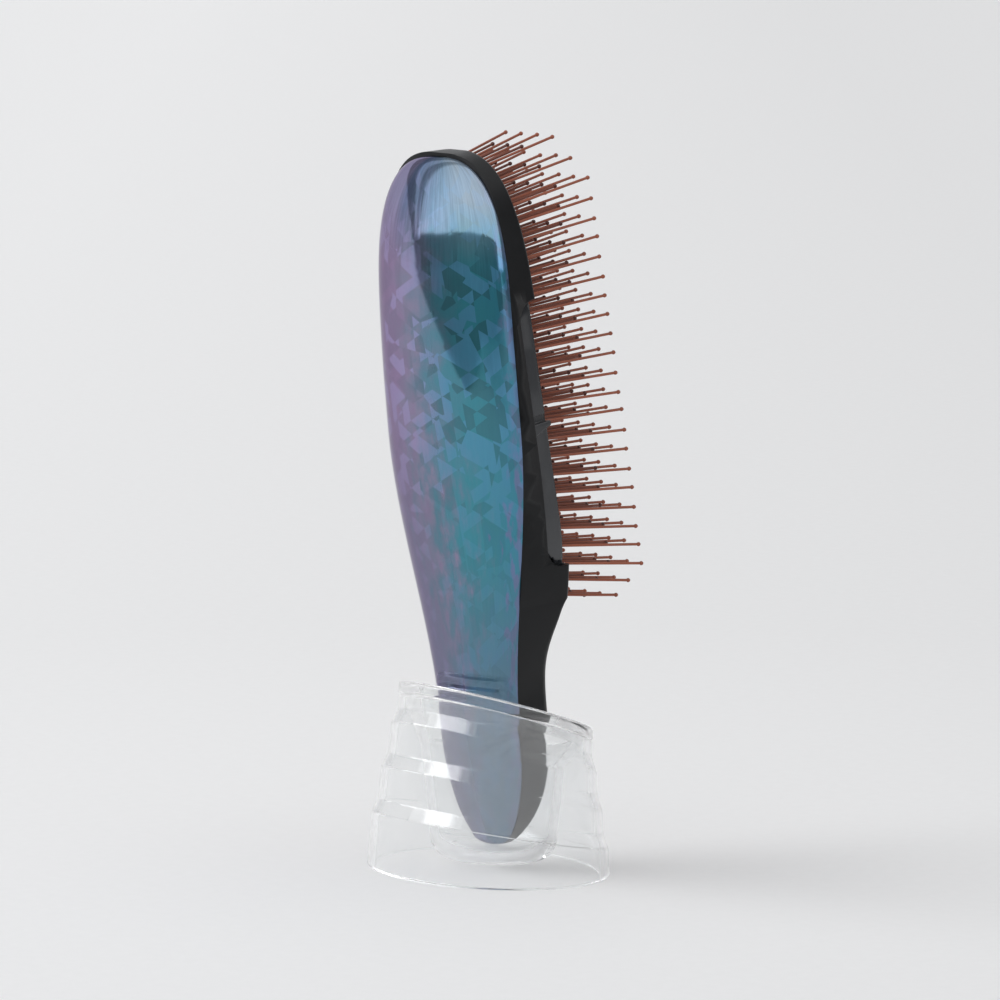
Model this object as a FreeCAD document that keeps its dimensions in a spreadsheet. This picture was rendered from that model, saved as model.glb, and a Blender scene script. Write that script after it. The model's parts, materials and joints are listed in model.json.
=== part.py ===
# Scalp brush that stands handle down in a clear tiered stand.
# Millimetres and degrees. Z is up, the pins point to +Y, X = 0 is the plane of symmetry,
# and the origin is the middle of the stand's foot.
import FreeCAD, Part
import math
import os

Vector = FreeCAD.Vector
Rotation = FreeCAD.Rotation
Placement = FreeCAD.Placement

sizes = {
    # Brush outline, seen from the back
    "brush_length": 167.5,
    "handle_half_width": 13.2,
    "head_half_width": 22.6,
    "neck_start": 30.0,
    "neck_end": 102.0,
    "handle_end_length": 30.0,
    "head_end_length": 37.0,
    # Domed back cover
    "handle_crown": 8.2,
    "head_crown": 12.9,
    "cover_setback": 1.0,
    "cover_end_length": 33.3,
    "crown_end_length": 56.0,
    "shell_wall": 1.8,
    "hollow_start": 9.0,
    # Front body
    "handle_front": 10.9,
    "handle_front_half_width": 12.4,
    "tail_length": 22.0,
    "handle_edge_radius": 3.0,
    "head_edge_radius": 1.0,
    "head_front_half_width": 21.4,
    "front_neck_start": 36.0,
    "front_neck_end": 80.0,
    "chin_start": 42.0,
    "chin_place": 60.0,
    "head_middle": 111.8,
    "head_front": 10.45,
    "head_tilt": 4.63,
    "top_setback": 0.2,
    # Pocket in the front body
    "rim_wall": 1.5,
    "pocket_floor": 1.6,
    "head_foot": 55.6,
    "head_foot_length": 14.0,
    "window_bottom": -43.4,
    "window_top": 21.2,
    "window_radius": 5.0,
    # Removable pin head
    "head_clearance": 0.15,
    "window_clearance": 0.3,
    "frame_wall": 0.8,
    "frame_floor": 0.6,
    "rail_height": 6.2,
    "rail_setback": 1.5,
    "rail_drop": 1.3,
    "rail_end_gap": 1.2,
    "slot_place": -7.3,
    "slot_width": 1.8,
    "slot_depth": 0.6,
    "tab_width": 3.0,
    "tab_tip": 1.0,
    "tab_proud": 0.8,
    "tab_setback": 0.5,
    "pad_recess": 0.4,
    "pad_thickness": 1.6,
    "pad_clearance": 0.1,
    "root_space": 1.25,
    # Pins
    "long_pin": 22.6,
    "short_pin": 15.7,
    "pin_radius": 0.33,
    "tip_radius": 0.53,
    "root_radius": 0.45,
    "root_depth": 2.35,
    "pin_fit": 0.04,
    "pin_margin": 0.3,
    "row_middle": -0.5,
    "row_pitch": 4.32,
    "column_pitch": 4.3,
    "fan_middle": -3.5,
    "fan_rate": 0.225,
    "splay_rate": 1.0,
    # How the brush stands
    "lean": 5.77,
    "seat_y": 2.17,
    "seat_gap": 0.3,
    # Stand: the socket round the handle
    "socket_gap_x": 3.3,
    "socket_gap_y": 5.0,
    "socket_middle_y": 2.0,
    "socket_wall": 2.0,
    "socket_height": 28.0,
    "socket_draft": 2.2,
    "socket_round": 5.0,
    "socket_lift": 2.5,
    "socket_tilt": 12.0,
    # Stand: the lip and the tiers of the skirt
    "flare_x": 9.1,
    "flare_y": 2.8,
    "lip_width": 2.75,
    "lip_height": 2.8,
    "rim_height": 39.0,
    "rim_forward": 2.5,
    "spigot_height": 2.0,
    "spigot_gap": 0.2,
    "skirt_wall": 2.0,
    "tier_first": 12.7,
    "tier_pitch": 9.9,
    "tier_drop": 3.5,
    "tier_step": 1.4,
    "tier_draft": 0.35,
    "tier_tilt": 11.0,
    "tier_tilt_step": 4.25,
}

row_count = 25
column_count = 8
tier_count = 3
end_power = 2.7
foot_power = 2.6
end_stations = 7
first_share = 0.35
outline_steps = 18
cup_steps = 4
cup_first_turn = 15.0
overshoot = 1.0

doc = FreeCAD.newDocument("scalp_brush")
sheet = doc.addObject("Spreadsheet::Sheet", "sizes")
for line, (alias, value) in enumerate(sizes.items(), start=1):
    sheet.set(f"A{line}", alias)
    sheet.set(f"B{line}", str(value))
    sheet.setAlias(f"B{line}", alias)
doc.recompute()
size = {alias: float(sheet.get(alias)) for alias in sizes}

nodes = []


def keep(item, label, place=None):
    # A finished sub-part, which is written to its own file.
    item.Label = label
    if place is not None:
        item.Placement = place
    nodes.append(item)
    return item


def shaped(name, shape):
    # A document object for a form that has no feature of its own.
    item = doc.addObject("Part::Feature", name)
    item.Shape = shape
    return item


def boolean(kind, name, base, tool):
    item = doc.addObject(f"Part::{kind}", name)
    item.Base = base
    item.Tool = tool
    return item


# Laws of the brush outline. Along the brush, s runs from the handle's end to the head's top.
def smooth_step(value, start, end):
    share = min(max((value - start) / (end - start), 0.0), 1.0)
    return share * share * (3.0 - 2.0 * share)


def end_share(distance, length, power):
    # 1 away from a rounded end, falling to 0 at the end itself.
    share = min(max(1.0 - distance / length, 0.0), 1.0)
    return (1.0 - share**power) ** (1.0 / power)


def rounded_core(s, core, top, top_length, top_power, inset):
    low = end_share(s - inset, size["handle_end_length"] - inset, 2.0)
    high = end_share(top - inset - s, top_length - inset, top_power)
    return (core - inset) * low * high


def back_half_width(s, top, inset=0.0):
    # Half width at the parting plane. The body and the cover end at tops of their own.
    step = smooth_step(s, size["neck_start"], size["neck_end"])
    core = size["handle_half_width"] + (size["head_half_width"] - size["handle_half_width"]) * step
    return rounded_core(s, core, top, size["cover_end_length"], end_power, inset)


def crown(s, inset=0.0):
    # Depth of the domed cover behind the parting plane.
    step = smooth_step(s, size["neck_start"], size["neck_end"])
    core = size["handle_crown"] + (size["head_crown"] - size["handle_crown"]) * step
    return rounded_core(s, core, cover_top, size["crown_end_length"], 2.0, inset)


def front_half_width(s, inset=0.0):
    # Half width of the front body at its front edge.
    step = smooth_step(s, size["front_neck_start"], size["front_neck_end"])
    wider = size["head_front_half_width"] - size["handle_front_half_width"]
    core = size["handle_front_half_width"] + wider * step
    top = size["brush_length"] - size["top_setback"]
    return rounded_core(s, core, top, size["head_end_length"], end_power, inset)


def head_plane(s):
    # Front of the head, a flat plane that tilts against the parting plane.
    return size["head_front"] - (s - size["head_middle"]) * math.tan(math.radians(size["head_tilt"]))


def handle_plane(s):
    # Front of the handle, with its rounded tail and the hollow rise to the chin.
    tail = end_share(s, size["tail_length"], 2.0)
    rise = max(s - size["chin_start"], 0.0) / (size["chin_place"] - size["chin_start"])
    chin = head_plane(size["chin_place"]) - size["handle_front"]
    return size["handle_front"] * tail + chin * rise**2


def towards_end(start, end, count):
    # Places that crowd towards the rounded end at start.
    turn = math.pi / 2.0 / count
    return [start + (end - start) * (1.0 - math.cos(turn * (step + first_share))) for step in range(count)]


def spread(start, end, count):
    return [start + (end - start) * step / count for step in range(count + 1)]


body_top = size["brush_length"]
cover_top = body_top - size["cover_setback"]
cover_end = cover_top - size["cover_end_length"]
head_end = body_top - size["head_end_length"]
handle_stations = towards_end(0.0, size["neck_start"], end_stations)
cover_stations = handle_stations + spread(size["neck_start"], cover_end, 8)
cover_stations += towards_end(cover_top, cover_end, end_stations)[::-1]
tail_stations = handle_stations + spread(size["neck_start"], size["chin_place"], 6)
head_stations = spread(size["chin_place"], head_end, 6)
head_stations += towards_end(body_top, head_end, end_stations)[::-1]

brush_seat = size["socket_lift"] + size["socket_wall"] + size["seat_gap"]
across = Vector(1, 0, 0)
brush_place = Placement(Vector(0, size["seat_y"], brush_seat), Rotation(across, size["lean"]))
head_origin = Vector(0, size["head_front"], size["head_middle"])
head_local = Placement(head_origin, Rotation(across, size["head_tilt"]))
head_place = brush_place.multiply(head_local)


# Back cover: half ellipses along the brush, hollowed by the same law set inwards.
def dome_section(s, inset=0.0, skirt=0.0):
    half_width = back_half_width(s, cover_top, inset)
    ellipse = Part.Ellipse(Vector(0, 0, s), half_width, crown(s, inset))
    edges = [Part.ArcOfEllipse(ellipse, math.pi, 2.0 * math.pi).toShape()]
    corners = [Vector(half_width, 0, s), Vector(-half_width, 0, s)]
    if skirt > 0.0:
        corners.insert(1, Vector(half_width, skirt, s))
        corners.insert(2, Vector(-half_width, skirt, s))
    for start, end in zip(corners, corners[1:]):
        edges.append(Part.makeLine(start, end))
    return Part.Wire(edges)


def back_cover():
    wall = size["shell_wall"]
    room = cover_top - 2.0 * wall
    inner_stations = [wall + s * room / cover_top for s in cover_stations]
    outer = Part.makeLoft([dome_section(s) for s in cover_stations], True, False)
    inner = Part.makeLoft([dome_section(s, wall, overshoot) for s in inner_stations], True, False)
    cut = boolean("Cut", "back_cover", shaped("cover_dome", outer), shaped("cover_hollow", inner))
    return keep(cut, "back_cover", brush_place)


# Front body: trapezium sections with rounded front corners.
def body_section(s_back, s_front, back, front, start, depth, radius):
    # start is the Y of the back edge, depth the Y of the front face.
    def at(x, y):
        return Vector(x, y, s_back + (s_front - s_back) * y / depth)

    bend = radius * (1.0 - math.sqrt(0.5))
    right = [at(back, start), at(front, depth - radius), at(front - radius, depth)]
    left = [Vector(-point.x, point.y, point.z) for point in right]
    right_bend = at(front - bend, depth - bend)
    left_bend = Vector(-right_bend.x, right_bend.y, right_bend.z)
    edges = [
        Part.makeLine(left[0], right[0]),
        Part.makeLine(right[0], right[1]),
        Part.Arc(right[1], right_bend, right[2]).toShape(),
        Part.makeLine(right[2], left[2]),
        Part.Arc(left[2], left_bend, left[1]).toShape(),
        Part.makeLine(left[1], left[0]),
    ]
    return Part.Wire(edges)


def edge_radius(s, half_width, depth):
    softer = size["handle_edge_radius"] - size["head_edge_radius"]
    wanted = size["handle_edge_radius"] - softer * smooth_step(s, size["chin_start"], size["chin_place"])
    return min(wanted, 0.5 * half_width, 0.5 * depth)


def handle_section(s):
    front = front_half_width(s)
    depth = handle_plane(s)
    radius = edge_radius(s, front, depth)
    return body_section(s, s, back_half_width(s, body_top), front, 0.0, depth, radius)


def head_section(s):
    chin = size["chin_place"]
    setback = size["top_setback"] * (s - chin) / (body_top - chin)
    front = front_half_width(s - setback)
    depth = head_plane(s - setback)
    radius = edge_radius(s, front, depth)
    return body_section(s, s - setback, back_half_width(s, body_top), front, 0.0, depth, radius)


def cavity_section(s):
    # Inside the walls, the pocket's floor and the side windows.
    wall = size["shell_wall"]
    below_pocket = head_plane(s) - pocket_depth - size["pocket_floor"]
    depth = min(handle_plane(s) - wall, below_pocket) if s < size["chin_place"] else below_pocket
    back = min(back_half_width(s, body_top), window_start) - wall
    front = min(front_half_width(s) - wall, back)
    return body_section(s, s, back, front, -overshoot, depth, size["head_edge_radius"])


# Outlines of the head, drawn in its own frame: X across, Y out of the front plane, Z up the head.
def head_half_width(height, inset):
    foot = size["head_foot"] - size["head_middle"] + inset
    rounded = end_share(height - foot, size["head_foot_length"], foot_power)
    return front_half_width(size["head_middle"] + height, inset) * rounded


def head_wire(inset):
    bottom = size["head_foot"] - size["head_middle"] + inset
    top = size["brush_length"] - size["top_setback"] - size["head_middle"] - inset
    middle = (bottom + top) / 2.0
    reach = (top - bottom) / 2.0
    turns = spread(0.0, math.pi, outline_steps)
    heights = [middle - reach * math.cos(turn) for turn in turns]
    right = [Vector(head_half_width(height, inset), 0, height) for height in heights]
    left = [Vector(-point.x, 0, point.z) for point in right[-2:0:-1]]
    curve = Part.BSplineCurve()
    curve.interpolate(Points=right + left, PeriodicFlag=True)
    return Part.Wire([curve.toShape()])


def head_slab(name, inset, low, high):
    # The head's outline set inwards, filled from Y = low to Y = high.
    face = Part.Face(head_wire(inset))
    face.translate(Vector(0, low, 0))
    return shaped(name, face.extrude(Vector(0, high - low, 0)))


def both_sides(name, right):
    return shaped(name, Part.makeCompound([right, right.mirror(Vector(0, 0, 0), across)]))


def side_slab(name, end_gap, inner, depth):
    # Along both side windows, rounded at the back, from X = inner outwards.
    low = size["window_bottom"] + end_gap
    high = size["window_top"] - end_gap
    radius = min(size["window_radius"], depth)
    bend = radius * (1.0 - math.sqrt(0.5))
    corners = [
        Vector(inner, overshoot, low),
        Vector(inner, radius - depth, low),
        Vector(inner, -depth, low + radius),
        Vector(inner, -depth, high - radius),
        Vector(inner, radius - depth, high),
        Vector(inner, overshoot, high),
    ]
    edges = [
        Part.makeLine(corners[0], corners[1]),
        Part.Arc(corners[1], Vector(inner, bend - depth, low + bend), corners[2]).toShape(),
        Part.makeLine(corners[2], corners[3]),
        Part.Arc(corners[3], Vector(inner, bend - depth, high - bend), corners[4]).toShape(),
        Part.makeLine(corners[4], corners[5]),
        Part.makeLine(corners[5], corners[0]),
    ]
    return both_sides(name, Part.Face(Part.Wire(edges)).extrude(Vector(side_reach - inner, 0, 0)))


side_reach = size["head_half_width"] + overshoot
pad_bottom = -size["pad_recess"] - size["pad_thickness"]
floor_top = pad_bottom - size["root_space"]
frame_bottom = floor_top - size["frame_floor"]
pocket_depth = size["head_clearance"] - frame_bottom
frame_inset = size["rim_wall"] + size["head_clearance"]
tray_inset = frame_inset + size["frame_wall"]
pad_inset = tray_inset + size["pad_clearance"]
window_inner = front_half_width(size["head_middle"] + size["window_bottom"], tray_inset)
window_start = window_inner - size["window_clearance"]


def front_body():
    handle = Part.makeLoft([handle_section(s) for s in tail_stations], True, False)
    head = Part.makeLoft([head_section(s) for s in head_stations], True, False)
    solid = boolean("Fuse", "body_solid", shaped("body_handle", handle), shaped("body_head", head))
    hollow_stations = spread(size["hollow_start"], size["chin_place"], 8)
    hollow_stations += spread(size["chin_place"], head_end, 3)[1:]
    hollow = Part.makeLoft([cavity_section(s) for s in hollow_stations], True, True)
    hollowed = boolean("Cut", "body_hollowed", solid, shaped("body_hollow", hollow))
    pocket = head_slab("head_pocket", size["rim_wall"], -pocket_depth, overshoot)
    pocket.Placement = head_local
    pocketed = boolean("Cut", "body_pocketed", hollowed, pocket)
    window_depth = size["rail_height"] + size["head_clearance"]
    window = side_slab("side_windows", 0.0, window_start, window_depth)
    window.Placement = head_local
    return keep(boolean("Cut", "front_body", pocketed, window), "front_body", brush_place)


# Pin head: a tray with a rail in each side window, and the pad that the pins come through.
def grip_slots():
    # A slot across each rail, for a fingernail.
    inner = size["head_front_half_width"] - size["rail_setback"] - size["slot_depth"]
    corner = Vector(inner, -size["rail_height"] - overshoot, size["slot_place"] - size["slot_width"] / 2.0)
    across_rail = size["rail_height"] + 2.0 * overshoot
    slot = Part.makeBox(side_reach - inner, across_rail, size["slot_width"], corner)
    return both_sides("grip_slots", slot)


def grip_tabs():
    # Below each slot a wedge stands proud of the rail and narrows towards the front.
    inner = size["head_front_half_width"] - frame_inset - size["frame_wall"] / 2.0
    outer = size["head_front_half_width"] - size["rail_setback"] + size["tab_proud"]
    top = size["slot_place"] - size["slot_width"] / 2.0
    back = size["tab_setback"] - size["rail_height"]
    front = -size["tab_setback"]
    corners = [
        Vector(inner, back, top),
        Vector(inner, front, top),
        Vector(inner, front, top - size["tab_tip"]),
        Vector(inner, back, top - size["tab_width"]),
    ]
    face = Part.Face(Part.makePolygon(corners + corners[:1]))
    return both_sides("grip_tabs", face.extrude(Vector(outer - inner, 0, 0)))


def head_frame():
    block = head_slab("frame_block", frame_inset, frame_bottom, 0.0)
    rail_outline = head_slab("rail_outline", size["rail_setback"], -size["rail_height"], 0.0)
    rail_sides = side_slab("rail_sides", size["rail_end_gap"], window_inner, size["rail_height"])
    rails = boolean("Common", "frame_rails", rail_outline, rail_sides)
    railed = boolean("Fuse", "frame_railed", block, rails)
    tray = head_slab("frame_tray", tray_inset, floor_top, overshoot)
    hollowed = boolean("Cut", "frame_hollowed", railed, tray)
    drops = side_slab("rail_drops", 0.0, window_start, size["rail_drop"])
    lowered = boolean("Cut", "frame_lowered", hollowed, drops)
    slotted = boolean("Cut", "frame_slotted", lowered, grip_slots())
    return keep(boolean("Fuse", "head_frame", slotted, grip_tabs()), "head_frame", head_place)


def row_height(row):
    return size["row_middle"] + (row - (row_count - 1) / 2.0) * size["row_pitch"]


def pin_places(row):
    # Long pins stand on the columns and short pins halfway between them.
    height = row_height(row)
    limit = head_half_width(height, pad_inset) - size["pin_margin"]
    half_steps = range(-(column_count - 1), column_count)
    places = []
    for step in half_steps:
        x = step * size["column_pitch"] / 2.0
        is_long = (step + column_count - 1) % 2 == 0
        outer = abs(x) if is_long else abs(x) + size["column_pitch"] / 2.0
        if outer <= limit:
            places.append((x, height, is_long))
    return places


def pin_frame(x, height):
    # The pins fan up and down the head and splay to its sides.
    rise = math.radians(size["fan_middle"] + size["fan_rate"] * height)
    splay = math.radians(size["splay_rate"] * x)
    direction = Vector(math.sin(splay), math.cos(splay) * math.cos(rise), math.cos(splay) * math.sin(rise))
    return Placement(Vector(x, -size["pad_recess"], height), Rotation(Vector(0, 0, 1), direction))


def pin_master(name, length_alias):
    # One pin along Z: a root ball under the pad, the shaft, and a ball tip.
    shaft = doc.addObject("Part::Cylinder", f"{name}_shaft")
    shaft.setExpression("Radius", "sizes.pin_radius")
    shaft.setExpression("Height", f"sizes.{length_alias} - sizes.tip_radius + sizes.root_depth")
    shaft.setExpression("Placement.Base.z", "-sizes.root_depth")
    tip = doc.addObject("Part::Sphere", f"{name}_tip")
    tip.setExpression("Radius", "sizes.tip_radius")
    tip.setExpression("Placement.Base.z", f"sizes.{length_alias} - sizes.tip_radius")
    root = doc.addObject("Part::Sphere", f"{name}_root")
    root.setExpression("Radius", "sizes.root_radius")
    root.setExpression("Placement.Base.z", "-sizes.root_depth")
    pin = doc.addObject("Part::MultiFuse", name)
    pin.Shapes = [shaft, tip, root]
    return pin


def pin_rows():
    long_pin = pin_master("long_pin", "long_pin")
    short_pin = pin_master("short_pin", "short_pin")
    doc.recompute()
    for row in range(row_count):
        pins = []
        for x, height, is_long in pin_places(row):
            pin = (long_pin if is_long else short_pin).Shape.Solids[0].copy()
            pin.Placement = pin_frame(x, height)
            pins.append(pin)
        name = f"pin_row_{row + 1:02d}"
        keep(shaped(name, Part.makeCompound(pins)), name, head_place)


def cushion_pad():
    slab = head_slab("pad_slab", pad_inset, pad_bottom, -size["pad_recess"])
    reach = 2.0 * size["pad_thickness"]
    radius = size["pin_radius"] + size["pin_fit"]
    holes = []
    for row in range(row_count):
        for x, height, is_long in pin_places(row):
            hole = Part.makeCylinder(radius, 2.0 * reach, Vector(0, 0, -reach))
            hole.Placement = pin_frame(x, height).multiply(hole.Placement)
            holes.append(hole)
    cut = boolean("Cut", "cushion_pad", slab, shaped("pin_holes", Part.makeCompound(holes)))
    return keep(cut, "cushion_pad", head_place)


# Stand: tilted ellipses in a stack, joined by straight lofts.
def ring(name, half_x, half_y, middle_y, height, tilt):
    # Each size is an expression on the sheet. The tilt is high at the back and low at the front.
    item = doc.addObject("Part::Ellipse", name)
    item.Placement = Placement(Vector(0, 0, 0), Rotation(across, -tilt))
    item.setExpression("MajorRadius", half_x)
    item.setExpression("MinorRadius", half_y)
    item.setExpression("Placement.Base.y", middle_y)
    item.setExpression("Placement.Base.z", height)
    return item


def ring_loft(name, rings):
    item = doc.addObject("Part::Loft", name)
    item.Sections = rings
    item.Solid = True
    item.Ruled = True
    return item


socket_x = "(sizes.handle_half_width + sizes.socket_gap_x)"
socket_y = "((sizes.handle_crown + sizes.handle_front) / 2 + sizes.socket_gap_y)"
rim_x = f"({socket_x} + sizes.flare_x + sizes.lip_width)"
rim_y = f"({socket_y} + sizes.flare_y + sizes.lip_width)"
rim_tilt = size["tier_tilt"] + size["tier_tilt_step"] * (tier_count - 1)


def lean_of(height):
    # The rings move forward with their height.
    return f"sizes.rim_forward * ({height}) / sizes.rim_height"


def tier_rings(prefix, inset, drop, low, high):
    # low and high are the heights of the ends, drop lowers the shoulders of the inside.
    tiers_out = f"{tier_count} * (sizes.tier_step + sizes.tier_draft)"
    rings = []

    def add(out, height, tilt):
        half_x = f"{rim_x} + {out} - {inset}"
        half_y = f"{rim_y} + {out} - {inset}"
        rings.append(ring(f"{prefix}_{len(rings)}", half_x, half_y, lean_of(height), height, tilt))

    add(tiers_out, low, 0.0)
    for tier in range(tier_count):
        tilt = size["tier_tilt"] + size["tier_tilt_step"] * tier
        left = tier_count - tier
        top = f"(sizes.tier_first + {tier} * sizes.tier_pitch - {drop})"
        step_out = f"({left} * sizes.tier_step + {left - 1} * sizes.tier_draft)"
        add(step_out, f"({top} - sizes.tier_drop)", tilt)
        add(f"({left - 1} * (sizes.tier_step + sizes.tier_draft))", top, tilt)
    add("0", high, rim_tilt)
    return rings


def stand_skirt():
    lip_bottom = "(sizes.rim_height - sizes.lip_height)"
    outer = ring_loft("skirt_outer", tier_rings("skirt_out", "0", "0", "0", lip_bottom))
    high = f"({lip_bottom} + {overshoot})"
    inner_rings = tier_rings("skirt_in", "sizes.skirt_wall", "sizes.skirt_wall / 2", f"-{overshoot}", high)
    inner = ring_loft("skirt_inner", inner_rings)
    return keep(boolean("Cut", "stand_skirt", outer, inner), "stand_skirt")


def cup_rings(prefix, wall, floor):
    # The cup from its rounded bottom up to the start of the funnel.
    middle_y = "sizes.socket_middle_y"
    rings = []
    for step in range(cup_steps + 1):
        turn = math.radians(cup_first_turn + (90.0 - cup_first_turn) * step / cup_steps)
        pulled = f"(sizes.socket_round * {1.0 - math.sin(turn):.6f} + sizes.socket_draft)"
        height = f"({floor} + sizes.socket_round * {1.0 - math.cos(turn):.6f})"
        half_x = f"{socket_x} - {pulled} + {wall}"
        half_y = f"{socket_y} - {pulled} + {wall}"
        rings.append(ring(f"{prefix}_{step}", half_x, half_y, middle_y, height, 0.0))
    half_x = f"{socket_x} + {wall}"
    half_y = f"{socket_y} + {wall}"
    height = f"(sizes.socket_height - {wall} / 2)"
    rings.append(ring(f"{prefix}_top", half_x, half_y, middle_y, height, size["socket_tilt"]))
    return rings


def stand_socket():
    lip_bottom = "(sizes.rim_height - sizes.lip_height)"
    spigot_bottom = f"({lip_bottom} - sizes.spigot_height)"
    lip_low = ring("lip_low", rim_x, rim_y, lean_of(lip_bottom), lip_bottom, rim_tilt)
    lip_high = ring("lip_high", rim_x, rim_y, lean_of("sizes.rim_height"), "sizes.rim_height", rim_tilt)
    lip = ring_loft("socket_lip", [lip_low, lip_high])
    spigot_x = f"{rim_x} - sizes.skirt_wall - sizes.spigot_gap"
    spigot_y = f"{rim_y} - sizes.skirt_wall - sizes.spigot_gap"
    cup = cup_rings("cup_out", "sizes.socket_wall", "sizes.socket_lift")
    cup.append(ring("spigot_low", spigot_x, spigot_y, lean_of(spigot_bottom), spigot_bottom, rim_tilt))
    cup.append(ring("spigot_high", spigot_x, spigot_y, lean_of(lip_bottom), lip_bottom, rim_tilt))
    solid = boolean("Fuse", "socket_solid", lip, ring_loft("socket_cup", cup))
    room = cup_rings("cup_in", "0", "(sizes.socket_lift + sizes.socket_wall)")
    mouth_x = f"{rim_x} - sizes.lip_width"
    mouth_y = f"{rim_y} - sizes.lip_width"
    mouth = f"(sizes.rim_height + {overshoot})"
    room.append(ring("mouth", mouth_x, mouth_y, lean_of(mouth), mouth, rim_tilt))
    return keep(boolean("Cut", "stand_socket", solid, ring_loft("socket_room", room)), "stand_socket")


stand_skirt()
stand_socket()
back_cover()
front_body()
head_frame()
cushion_pad()
pin_rows()
doc.recompute()

for item in doc.Objects:
    if "Invalid" in item.State or "Error" in item.State:
        raise RuntimeError(f"{item.Name} failed: {item.State}")
os.makedirs("parts", exist_ok=True)
for item in nodes:
    if item.Shape.isNull() or not item.Shape.isValid():
        raise RuntimeError(f"{item.Label} has no valid shape")
    item.Shape.exportStep(f"parts/{item.Label}.step")
    box = item.Shape.BoundBox
    extent = f"{box.XLength:.1f} x {box.YLength:.1f} x {box.ZLength:.1f} mm"
    print(f"{item.Label}: {len(item.Shape.Solids)} solids, {item.Shape.Volume:.0f} mm3, {extent}")
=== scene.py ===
import json
import math
import random
import bmesh
import bpy
from mathutils import Matrix, Vector


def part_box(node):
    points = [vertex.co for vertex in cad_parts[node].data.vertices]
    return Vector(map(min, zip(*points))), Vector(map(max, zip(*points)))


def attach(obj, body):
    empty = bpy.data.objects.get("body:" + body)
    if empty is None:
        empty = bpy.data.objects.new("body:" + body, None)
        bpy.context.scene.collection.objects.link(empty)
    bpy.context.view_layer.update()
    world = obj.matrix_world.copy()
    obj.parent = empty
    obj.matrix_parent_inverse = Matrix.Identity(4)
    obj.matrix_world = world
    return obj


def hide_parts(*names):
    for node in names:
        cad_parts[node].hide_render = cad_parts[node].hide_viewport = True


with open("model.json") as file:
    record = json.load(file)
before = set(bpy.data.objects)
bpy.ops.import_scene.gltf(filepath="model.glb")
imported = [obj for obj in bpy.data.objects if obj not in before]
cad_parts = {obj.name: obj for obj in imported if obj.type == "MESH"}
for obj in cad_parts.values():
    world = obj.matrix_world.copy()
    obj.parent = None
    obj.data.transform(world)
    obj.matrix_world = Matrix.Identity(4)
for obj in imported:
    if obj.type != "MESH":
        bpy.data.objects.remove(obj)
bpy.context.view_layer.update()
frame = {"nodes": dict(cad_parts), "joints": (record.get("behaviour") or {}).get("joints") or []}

mm = 0.001


# Where the brush stands: its axis is the axis of the joint that lifts it out of the stand
def jointAxis(name):
    return Vector(next(joint["axis"] for joint in frame["joints"] if joint["name"] == name))


brush = {
    "seat": (0.0, 2.17, 4.8),       # the handle's end, in the middle of the socket
    "headFront": 10.45, "headMiddle": 111.8,
}
liftAxis = jointAxis("brush_lift")
outAxis = jointAxis("head_release")
leanTurn = math.atan2(-liftAxis.y, liftAxis.z)
headTurn = math.atan2(outAxis.z, outAxis.y)
brushPlace = Matrix.Translation(Vector(brush["seat"]) * mm) @ Matrix.Rotation(leanTurn, 4, "X")
headMiddle = brushPlace @ Vector((0.0, brush["headFront"] * mm, brush["headMiddle"] * mm))
headPlace = Matrix.Translation(headMiddle) @ Matrix.Rotation(headTurn, 4, "X")


def smoothStep(value, start, end):
    share = min(max((value - start) / (end - start), 0.0), 1.0)
    return share * share * (3.0 - 2.0 * share)


def endShare(distance, length, power):
    # Share of the full width that is left near a rounded end
    share = min(max(1.0 - distance / length, 0.0), 1.0)
    return (1.0 - share ** power) ** (1.0 / power)


# Finished pieces
def addObject(name, data):
    item = bpy.data.objects.new(name, data)
    bpy.context.scene.collection.objects.link(item)
    return item


def addMesh(name, bm, material):
    mesh = bpy.data.meshes.new(name)
    bm.to_mesh(mesh)
    bm.free()
    mesh.materials.append(material)
    return addObject(name, mesh)


def addPiece(name, bm, body, node, material, place=None):
    if place is not None:
        bmesh.ops.transform(bm, matrix=place, verts=bm.verts)
    piece = addMesh(name, bm, material)
    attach(piece, body)
    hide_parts(node)
    return piece


def smoothPiece(piece, angle):
    for face in piece.data.polygons:
        face.use_smooth = True
    piece.data.set_sharp_from_angle(angle=math.radians(angle))


# Shader helpers
def newMaterial(name):
    material = bpy.data.materials.new(name)
    material.use_nodes = True
    tree = material.node_tree
    shader = next(node for node in tree.nodes if node.type == "BSDF_PRINCIPLED")
    return material, tree, shader


def feed(tree, socket, value):
    # Links another node's output, or sets a plain value
    if isinstance(value, bpy.types.NodeSocket):
        tree.links.new(value, socket)
    else:
        socket.default_value = value


def addNode(tree, kind, inputs=None, **settings):
    node = tree.nodes.new(kind)
    for key, value in settings.items():
        setattr(node, key, value)
    for key, value in (inputs or {}).items():
        feed(tree, node.inputs[key], value)
    return node


def addRamp(tree, fac, stops):
    node = addNode(tree, "ShaderNodeValToRGB", {"Fac": fac})
    elements = node.color_ramp.elements
    while len(elements) < len(stops):
        elements.new(0.5)
    for element, (place, colour) in zip(elements, stops):
        element.position = place
        element.color = (*colour, 1.0)
    return node.outputs["Color"]


def mixColour(tree, fac, first, second):
    node = addNode(tree, "ShaderNodeMix", data_type="RGBA")
    for key, value in ((0, fac), (6, first), (7, second)):
        feed(tree, node.inputs[key], (*value, 1.0) if isinstance(value, tuple) else value)
    return node.outputs[2]


def calc(tree, operation, *values):
    return addNode(tree, "ShaderNodeMath", dict(enumerate(values)), operation=operation).outputs[0]


def vectorCalc(tree, operation, *vectors):
    return addNode(tree, "ShaderNodeVectorMath", dict(enumerate(vectors)), operation=operation).outputs[0]


def scaled(tree, vector, scale):
    inputs = {0: vector, "Scale": scale}
    return addNode(tree, "ShaderNodeVectorMath", inputs, operation="SCALE").outputs[0]


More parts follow.
